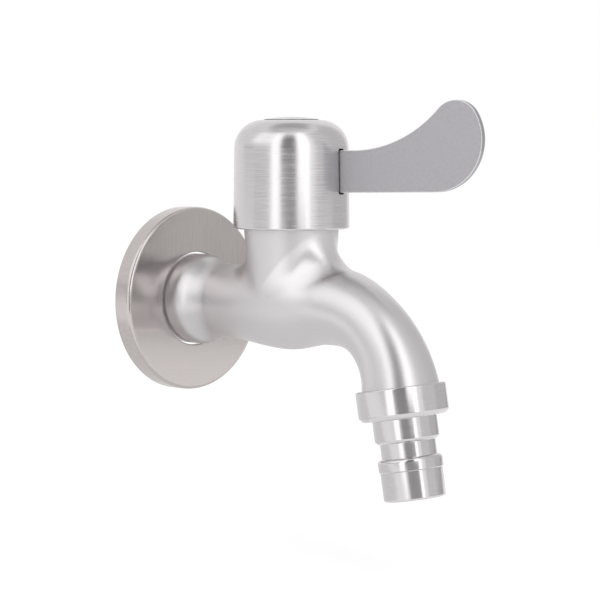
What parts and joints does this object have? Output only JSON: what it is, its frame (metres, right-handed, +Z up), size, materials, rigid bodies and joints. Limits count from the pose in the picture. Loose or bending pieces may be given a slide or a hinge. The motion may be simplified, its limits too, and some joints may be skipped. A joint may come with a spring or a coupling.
{
  "type": "outdoor ball valve tap",
  "caption": "Wall-mounted outdoor tap with a quarter-turn lever on a domed cap, a bent cast spout, a loose round wall flange and a hose tail.",
  "frame": {"origin": "on the inlet thread's axis, at the wall plane that the flange's back rim stands on", "axes": "+X along the inlet axis, out of the wall; +Z up along the stem; the spout and hose tail lie in the XZ plane"},
  "size_m": [0.1173, 0.0544, 0.109],
  "materials": {
    "cast_steel": "satin casting, finely blasted and brushed",
    "cap_steel": "brushed round the vertical axis",
    "turned_steel": "fine bright turning",
    "plate_steel": "matte blasted face with a bright cut edge",
    "flange_steel": "semi-bright with an upright grain",
    "ball_chrome": "polished",
    "gland_brass": "plain turned",
    "seat_plastic": "white slippery plastic",
    "seal_rubber": "matte black",
    "fastener_steel": "plain turned"
  },
  "bodies": {
    "tap": {"tap_body": "cast_steel", "hose_nozzle": "turned_steel", "nozzle_gasket": "seal_rubber", "seat_retainer": "gland_brass", "retainer_o_ring": "seal_rubber", "inlet_seat": "seat_plastic", "outlet_seat": "seat_plastic", "thrust_washer": "seat_plastic", "friction_washer": "seat_plastic", "gland_nut": "gland_brass", "gland_nut_o_ring": "seal_rubber", "stop_pins": "fastener_steel"},
    "handle": {"handle_dome": "cap_steel", "index_button": "cap_steel", "lever_blade": "plate_steel", "handle_hub": "fastener_steel", "lever_pins": "fastener_steel", "handle_screw": "fastener_steel", "screw_washer": "fastener_steel", "stop_washer": "fastener_steel", "valve_stem": "fastener_steel", "stem_o_rings": "seal_rubber"},
    "ball": {"valve_ball": "ball_chrome"},
    "flange": {"wall_flange": "flange_steel"}
  },
  "joints": [
    {"name": "handle_turn", "type": "hinge", "parent": "tap", "child": "handle", "pos_m": [0.0445, 0, 0], "axis": [0, 0, 1], "range_deg": [-12, 78]},
    {"name": "ball_turn", "type": "hinge", "parent": "tap", "child": "ball", "pos_m": [0.0445, 0, 0], "axis": [0, 0, 1], "range_deg": [-12, 78]},
    {"name": "flange_slide", "type": "slide", "parent": "tap", "child": "flange", "axis": [1, 0, 0], "range_m": [0, 0.02]}
  ],
  "couplings": [
    {"joint": "ball_turn", "follows": "handle_turn", "ratio": 1}
  ]
}
